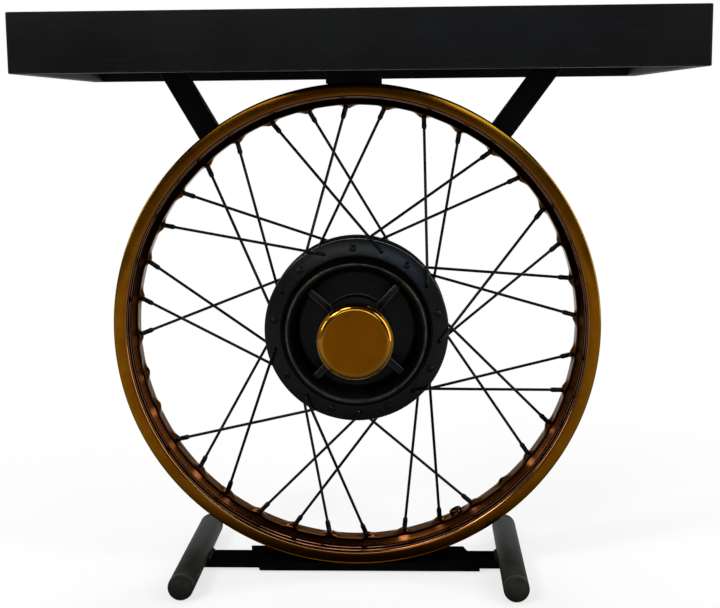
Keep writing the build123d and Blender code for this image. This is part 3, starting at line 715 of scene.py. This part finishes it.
def makeHub():
    h = hub
    seatEnd = h["nearBearing"] + h["bearing"]
    groove = lacing["nearFlange"] + 1.0
    outline = [
        (h["bossNear"], h["seat"], 0.6, 2), (h["bossNear"], h["boss"], 1.4, 3),
        (h["dishFloor"], h["boss"], 4.0, 5), (h["dishFloor"], h["dish"], 5.0, 6),
        (h["nearLip"] + 5.5, h["dish"], 1.2, 3), (h["nearLip"] + 0.4, h["dish"] + 4.6, 1.6, 4),
        (h["nearLip"], h["ringLip"] - 1.2, 0.8, 3), (h["nearLip"] + 1.4, h["ringLip"], 0.6, 2),
        (h["nearLip"] + 9.0, h["ringLip"] + 0.9, 1.5, 3),
        (groove, h["barrel"], 1.2, 3), (groove, h["flangeInner"], 0.8, 2),
        (*flangeAt("near", -1, h["flangeInner"]), 0.7, 3),
        (*flangeAt("near", -1, h["flange"]), 1.3, 4), (*flangeAt("near", 1, h["flange"]), 1.0, 3),
        (*flangeAt("near", 1, h["barrel"]), 2.2, 4), (*flangeAt("far", -1, h["barrel"]), 2.2, 4),
        (*flangeAt("far", -1, h["flange"]), 1.0, 3), (*flangeAt("far", 1, h["flange"]), 1.3, 4),
        (*flangeAt("far", 1, h["barrel"]), 1.6, 4), (h["farLip"], h["barrel"] - 1.5, 1.5, 4),
        (h["farLip"], h["drum"], 1.0, 3), (h["drumFloor"], h["drum"]),
        (h["drumFloor"], h["boss"], 3.0, 4), (h["bossFar"], h["boss"], 1.2, 3),
        (h["bossFar"], h["seat"], 0.6, 2), (h["farBearing"], h["seat"]),
        (h["farBearing"], h["bore"]), (seatEnd, h["bore"]), (seatEnd, h["seat"]),
        (h["nearBearing"], h["seat"]), (h["nearBearing"], h["clip"]),
        (h["nearBearing"] - h["clipThick"], h["clip"]),
        (h["nearBearing"] - h["clipThick"], h["seat"])]
    bm = spinOutline(outline, h["steps"])
    holes = bmesh.new()
    pin = makePin(-5, 5, h["hole"], 14)
    for place in range(1, lacing["places"] + 1):
        _, _, _, through, centre = laceSpoke(place)
        stamp(holes, pin, centre, through)
    whole = meshToBm(cutAway(meshOf(bm, "hub"), holes))
    for index in range(ribs["count"]):
        made = block(whole, (h["boss"] - 1.5, ribs["top"], -ribs["width"] / 2),
                     (h["dish"] + 1.0, h["dishFloor"] + 1.0, ribs["width"] / 2), 1.0, 3)
        turn = Matrix.Rotation(-radians(ribs["angle"] + 360.0 / ribs["count"] * index), 3, "Y")
        bmesh.ops.rotate(whole, verts=made, cent=(0, 0, 0), matrix=turn)
    finishPiece("hubShell", whole, "black_hub", stands=("hub_shell",), centre=axle, crease=30)


makeHub()
print("hub shell made")


# ---- cap over the axle's end

cap = {"radius": 36.2, "back": -51.5, "front": -102.0, "edge": 6.5, "wall": 4.0, "face": 6.0,
       "steps": 160, "dish": 0.25, "grub": 2.05, "grubPlace": -56.25}


def makeCap():
    c = cap
    bore = c["radius"] - c["wall"]
    bm = spinOutline([
        (c["back"], bore, 0.5, 2), (c["back"], c["radius"], 0.8, 3),
        (c["front"], c["radius"], c["edge"], 14), (c["front"] + c["dish"], 0.0),
        (c["front"] + c["face"], 0.0), (c["front"] + c["face"], bore, 1.5, 3)], c["steps"])
    hole = bmesh.new()
    low = onWheel(-90, c["radius"], c["grubPlace"])
    stamp(hole, makePin(-12, 6, c["grub"], 20), low, (0, 0, -1))
    finishPiece("axleCap", cutAway(meshOf(bm, "cap"), hole), "gold_cap", "axle_assembly",
                ("center_cap",), axle, 30)


makeCap()
print("cap made")


# ---- feet

foot = {"radius": 12.5, "front": -113.0, "back": 98.0, "plug": 15.0, "spigot": 12.0, "wall": 2.0,
        "dome": 9.6, "spacing": 321.5, "seam": 0.35, "steps": 72, "yaw": -1.5, "shift": -14.0}


def onBase(bm):
    # the base stands a little skew under the wheel
    turn = Matrix.Rotation(radians(foot["yaw"]), 3, "Z")
    bmesh.ops.rotate(bm, verts=bm.verts, cent=(0, 0, 0), matrix=turn)
    bmesh.ops.translate(bm, verts=bm.verts, vec=(foot["shift"], 0, 0))
    return bm


def makeFeet():
    f = foot
    inner = f["radius"] - f["wall"]
    low, high = f["front"] + f["plug"], f["back"] - f["plug"]
    for side, sign in (("Left", -1), ("Right", 1)):
        middle = Vector((sign * f["spacing"] / 2, 0, f["radius"]))
        tube = spinOutline([(low, inner), (low, f["radius"], f["seam"], 2),
                            (high, f["radius"], f["seam"], 2), (high, inner)], f["steps"])
        bmesh.ops.translate(tube, verts=tube.verts, vec=middle)
        finishPiece("footTube" + side, onBase(tube), "charcoal_steel",
                    stands=("foot_tube_" + side.lower(),))
        plugs = bmesh.new()
        for start, way in ((f["front"], 1), (f["back"], -1)):
            shape = meshOf(spinOutline([
                (0, 0), (0, f["radius"], f["dome"], 14), (f["plug"], f["radius"], f["seam"], 2),
                (f["plug"], inner - 0.05), (f["plug"] + f["spigot"], inner - 0.05),
                (f["plug"] + f["spigot"], 0)], f["steps"], closed=False))
            stamp(plugs, shape, (middle.x, start, middle.z), (0, way, 0))
        finishPiece("footPlugs" + side, onBase(plugs), "charcoal_steel",
                    stands=("foot_plugs_" + side.lower(),))


makeFeet()
print("feet made")


# ---- weld beads and plate screws

bead = {"sides": 10, "pitch": 2.1, "slices": 5, "swell": 0.13, "tip": 0.35, "start": 0.45,
        "grow": 0.22}


def weldBead(bm, start, end, radius):
    # a run of overlapping ripples from start to end
    start, end = Vector(start), Vector(end)
    way = end - start
    count = max(8, round(way.length / bead["pitch"]) * bead["slices"])
    size = bead["tip"]
    loop = ringAt(bm, start, way, radius * size, bead["sides"])
    closeRing(bm, loop)
    for index in range(1, count + 1):
        loop = push(bm, loop, way / count)
        phase = index % bead["slices"] / bead["slices"]
        ends = bead["start"] + min(index, count - index) * bead["grow"]
        fresh = min(1.0, ends) * (1.0 - bead["swell"] * phase * phase)
        verts = [g for g in loop if isinstance(g, bmesh.types.BMVert)]
        middle = start + way * index / count
        bmesh.ops.scale(bm, vec=(fresh / size,) * 3, verts=verts,
                        space=Matrix.Translation(-middle))
        size = fresh
    closeRing(bm, loop)


strut = {"leftTop": -198.7, "leftLean": 29.85, "rightTop": 200.5, "rightLean": -36.8, "size": 22.2,
         "plateZ": 528.0}
plate = {"length": 64.0, "crestLength": 92.0, "screwMargin": 8.0, "screwY": 18.0}
screw = {"headRadius": 4.2, "headDepth": 2.0, "shank": 2.2, "length": 16.0, "point": 4.0,
         "crossWide": 1.1, "crossLong": 4.4, "crossDeep": 1.5}
# the short beads that hold the rim, and the long ones at the feet and the strut plates
rimBeads = {"crest": {"z": 490.0, "lift": -1.0}, "saddle": {"z": 10.0, "lift": 1.0}}
beadAt = {"rimFrom": 17.0, "rimTo": 25.5, "rimY": 26.0, "rimRadius": 1.2, "footIn": 12.2,
          "footY": 17.5, "footZ": 8.0, "footRadius": 3.2, "plateGap": 0.9, "plateRadius": 2.3}


def makeBeads():
    b = beadAt
    struts = bmesh.new()
    half = strut["size"] / 2
    for x, lean in ((strut["leftTop"], strut["leftLean"]),
                    (strut["rightTop"], strut["rightLean"])):
        reach = half / cos(radians(lean)) - 2
        for sign in (-1, 1):
            y, z = sign * (half + b["plateGap"]), strut["plateZ"] - b["plateGap"]
            weldBead(struts, (x - reach, y, z), (x + reach, y, z), b["plateRadius"])
    finishPiece("weldBeadsStrutPlates", struts, "black_steel", stands=("weld_beads_strut_plates",))
    for name, item in rimBeads.items():
        bm = bmesh.new()
        z, lift = item["z"], item["lift"]  # the rim curves away from them outwards
        for sign in (-1, 1):
            for y in (-b["rimY"], b["rimY"]):
                weldBead(bm, (axle.x + sign * b["rimFrom"], y, z + lift * 0.15),
                         (axle.x + sign * b["rimTo"], y, z + lift * 0.5), b["rimRadius"])
        finishPiece("weldBeads" + name.capitalize(), bm, "black_steel",
                    stands=("weld_beads_" + name,))
    bm = bmesh.new()
    for sign in (-1, 1):
        x = sign * (foot["spacing"] / 2 - b["footIn"])
        weldBead(bm, (x, -b["footY"], b["footZ"]), (x, b["footY"], b["footZ"]), b["footRadius"])
    finishPiece("weldBeadsFeet", onBase(bm), "black_steel", stands=("weld_beads_feet",))


def makeScrews():
    p, w = plate, screw
    shape = meshOf(spinOutline([
        (0, 0), (0, w["headRadius"], 0.2, 1), (w["headDepth"], w["shank"]),
        (w["length"] - w["point"], w["shank"]), (w["length"], 0.2), (w["length"], 0)],
        24, closed=False))
    for turn in (0, pi / 2):
        groove = bmesh.new()
        made = block(groove, (-w["crossLong"] / 2, -1, -w["crossWide"] / 2),
                     (w["crossLong"] / 2, w["crossDeep"], w["crossWide"] / 2))
        bmesh.ops.rotate(groove, verts=made, cent=(0, 0, 0), matrix=Matrix.Rotation(turn, 3, "Y"))
        shape = cutAway(shape, groove)
    bm = bmesh.new()
    for x, length in ((strut["leftTop"], p["length"]), (axle.x, p["crestLength"]),
                      (strut["rightTop"], p["length"])):
        reach = length / 2 - p["screwMargin"]
        for dx in (-reach, reach):
            for dy in (-p["screwY"], p["screwY"]):
                stamp(bm, shape, (x + dx, dy, strut["plateZ"]), (0, 0, 1))
    finishPiece("plateScrews", bm, "bright_steel", stands=("plate_screws",))


makeBeads()
makeScrews()
print("beads and screws made")


# ---- the CAD nodes that stay, each in its own finish

slots = {
    "black_steel": ("strut_left", "strut_right", "strut_plate_left", "strut_plate_right",
                    "rim_crest_plate", "rim_crest_post"),
    "base_steel": ("saddle_plate", "base_bar_left", "base_bar_right"),  # duller than the struts
    "bright_steel": ("axle", "axle_nut_far", "axle_nut_near", "axle_washer_far",
                     "axle_washer_near", "cap_collar", "cap_grub_screw", "bearing_circlip",
                     "bearing_far_inner_ring", "bearing_far_outer_ring", "bearing_near_inner_ring",
                     "bearing_near_outer_ring", "bearing_spacer_sleeve"),
    "liner_iron": ("drum_liner",),
    "seal_rubber": ("bearing_far_sealed_balls", "bearing_near_sealed_balls"),
}
for slot, names in slots.items():
    for name in names:
        nodes[name].data.materials.clear()
        nodes[name].data.materials.append(finishes[slot])
print("carried nodes finished")


# ---- floor, world and lamps

studio = {"floor": 6.0, "floorTint": (0.90, 0.90, 0.90, 1.0), "floorGlow": 0.70,
          "fadeFrom": 350.0, "fadeTo": 900.0, "sky": 0.62}


def makeFloor():
    bm = bmesh.new()
    bmesh.ops.create_grid(bm, x_segments=1, y_segments=1, size=studio["floor"])
    mesh = meshOf(bm, "floor")
    f = Finish("paleFloor")
    path = f.add("ShaderNodeLightPath", output="Is Camera Ray")
    seen = path.maths("MAXIMUM", path, path.output("Is Glossy Ray"))
    seen = seen.maths("MAXIMUM", seen, path.output("Is Transmission Ray"))
    plain = f.add("ShaderNodeBsdfDiffuse", {}, {"Color": studio["floorTint"]})
    glow = f.add("ShaderNodeEmission", {}, {"Color": (1, 1, 1, 1), "Strength": 1.0})
    away = (f.x ** 2 + f.y ** 2) ** 0.5
    white = f.rise(away, studio["fadeFrom"], studio["fadeTo"], studio["floorGlow"], 1.0)
    both = f.add("ShaderNodeMixShader", {}, {0: seen * white, 1: plain, 2: glow})
    f.add("ShaderNodeOutputMaterial", {}, {"Surface": both})
    mesh.materials.append(f.material)
    floor = bpy.data.objects.new("studioFloor", mesh)
    bpy.context.scene.collection.objects.link(floor)


def makeWorld():
    world = bpy.data.worlds.new("studioWorld")
    bpy.context.scene.world = world
    world.use_nodes = True
    tree = world.node_tree
    tree.nodes.clear()
    path = tree.nodes.new("ShaderNodeLightPath")
    seen = tree.nodes.new("ShaderNodeMath")
    seen.operation = "MAXIMUM"
    tree.links.new(path.outputs["Is Camera Ray"], seen.inputs[0])
    tree.links.new(path.outputs["Is Glossy Ray"], seen.inputs[1])
    both = tree.nodes.new("ShaderNodeMath")
    both.operation = "MAXIMUM"
    tree.links.new(seen.outputs[0], both.inputs[0])
    tree.links.new(path.outputs["Is Transmission Ray"], both.inputs[1])
    soft, white = tree.nodes.new("ShaderNodeBackground"), tree.nodes.new("ShaderNodeBackground")
    soft.inputs["Strength"].default_value = studio["sky"]
    for back in (soft, white):
        back.inputs["Color"].default_value = (1, 1, 1, 1)
    mix, end = tree.nodes.new("ShaderNodeMixShader"), tree.nodes.new("ShaderNodeOutputWorld")
    tree.links.new(both.outputs[0], mix.inputs[0])
    tree.links.new(soft.outputs[0], mix.inputs[1])
    tree.links.new(white.outputs[0], mix.inputs[2])
    tree.links.new(mix.outputs[0], end.inputs["Surface"])


lamps = {
    "lampLeft": {"place": (-1.5, -1.6, 1.9), "aim": (0, 0, 0.3), "size": (0.7, 0.5),
                 "power": 31.0},
    "lampRight": {"place": (1.7, -1.1, 1.5), "aim": (0, 0, 0.3), "size": (0.35, 1.2),
                  "power": 14.0},
    "lampBack": {"place": (0.3, 1.9, 2.0), "aim": (0, 0, 0.3), "size": (1.2, 0.8),
                 "power": 22.0},
}
cards = {
    # the room in front of the table, from the floor up, and a cool window in it
    "cardFront": {"place": (0, -2.7, 0.60), "aim": (0, 0, 0.60), "size": (6.0, 0.55),
                  "tint": (0.13, 0.13, 0.13)},
    "cardFrontLow": {"place": (0, -2.7, 0.16), "aim": (0, 0, 0.16), "size": (6.0, 0.32),
                     "tint": (0.30, 0.30, 0.30)},
    "cardFrontHigh": {"place": (-0.1, -2.7, 1.10), "aim": (0, 0, 1.10), "size": (1.6, 0.60),
                      "tint": (4.8, 4.9, 4.6)},
    "cardWindow": {"place": (0.62, -2.6, 0.90), "aim": (0, 0, 0.90), "size": (0.60, 0.50),
                   "tint": (4.4, 6.2, 9.8)},
    "cardFrontTop": {"place": (0, -2.9, 1.90), "aim": (0, 0, 1.90), "size": (6.0, 2.10),
                     "tint": (0.05, 0.05, 0.05)},
    # its two sides
    "cardLeft": {"place": (-3.0, -0.6, 1.1), "aim": (0, -0.6, 1.1), "size": (4.4, 2.2),
                 "tint": (0.50, 0.49, 0.46)},
    "cardRight": {"place": (3.0, -0.6, 1.1), "aim": (0, -0.6, 1.1), "size": (4.4, 2.2),
                  "tint": (0.95, 0.92, 0.86)},
    # small bright panes, for the glints on the rim and the cap
    "cardPane": {"place": (-0.58, -1.08, 1.85), "aim": (0, -0.1, 0.25), "size": (0.55, 0.42),
                 "tint": (16.0, 15.4, 14.0)},
    "cardPaneLeft": {"place": (-1.72, -0.9, 0.87), "aim": (0, -0.1, 0.25), "size": (0.34, 0.60),
                     "tint": (12.0, 11.6, 10.6)},
    "cardStrip": {"place": (1.62, -0.9, 0.62), "aim": (0, -0.1, 0.25), "size": (0.46, 1.3),
                  "tint": (9.0, 8.6, 7.8)},
    # and the ceiling
    "cardTop": {"place": (0, -0.6, 2.8), "aim": (0, -0.6, 0), "size": (6.0, 4.4),
                "tint": (0.12, 0.12, 0.12)},
}
# a cloth on the floor: metres for its place and width, millimetres for where its shade changes
cloth = {"near": -0.045, "far": -2.7, "lift": 0.001, "width": 6.0, "middle": 0.50, "sides": 0.85,
         "middleTo": 100, "sidesFrom": 500, "feet": 0.04, "feetTo": -40, "openFrom": -420}


def facing(place, aim):
    turn = (Vector(aim) - Vector(place)).to_track_quat("-Z", "Y").to_matrix().to_4x4()
    return Matrix.Translation(place) @ turn


def makeLamps():
    for name, item in lamps.items():
        light = bpy.data.lights.new(name, "AREA")
        light.shape, light.size, light.size_y = "RECTANGLE", *item["size"]
        light.energy = item["power"]
        lamp = bpy.data.objects.new(name, light)
        lamp.matrix_world = facing(item["place"], item["aim"])
        bpy.context.scene.collection.objects.link(lamp)


def addCard(name, f, glow, mesh, place):
    light = f.add("ShaderNodeEmission", {}, {"Color": glow, "Strength": 1.0})
    f.add("ShaderNodeOutputMaterial", {}, {"Surface": light})
    mesh.materials.append(f.material)
    card = bpy.data.objects.new(name, mesh)
    card.matrix_world = place
    card.visible_camera = card.visible_diffuse = False
    card.visible_shadow = card.visible_transmission = False
    bpy.context.scene.collection.objects.link(card)


def flatCard(width, depth):
    # a flat sheet, in metres
    bm = bmesh.new()
    bmesh.ops.create_grid(bm, x_segments=1, y_segments=1, size=0.5)
    bmesh.ops.scale(bm, vec=(width, depth, 1), verts=bm.verts)
    return bm


def makeCards():
    # cards that only the shiny parts see, as a photographer would stand round the table
    for name, item in cards.items():
        addCard(name, Finish(name + "Cloth"), (*item["tint"], 1.0),
                meshOf(flatCard(*item["size"]), name), facing(item["place"], item["aim"]))
    # and a cloth on the floor in front, darkest by the feet and lighter to both sides
    c = cloth
    bm = flatCard(c["width"], c["near"] - c["far"])
    bmesh.ops.translate(bm, vec=(0, (c["near"] + c["far"]) / 2, c["lift"]), verts=bm.verts)
    f = Finish("frontCloth")
    across = f.x.maths("ABSOLUTE", f.x)
    aside = f.rise(across, c["middleTo"], c["sidesFrom"], c["middle"], c["sides"])
    light = f.rise(f.y, c["feetTo"], c["openFrom"], c["feet"], 1.0) * aside
    grey = f.add("ShaderNodeCombineXYZ", {}, {"X": light, "Y": light, "Z": light})
    addCard("cardFloor", f, grey, meshOf(bm, "cardFloor"), Matrix())


makeFloor()
makeWorld()
makeLamps()
makeCards()
bpy.context.scene.view_settings.view_transform = "Standard"
print("studio made")
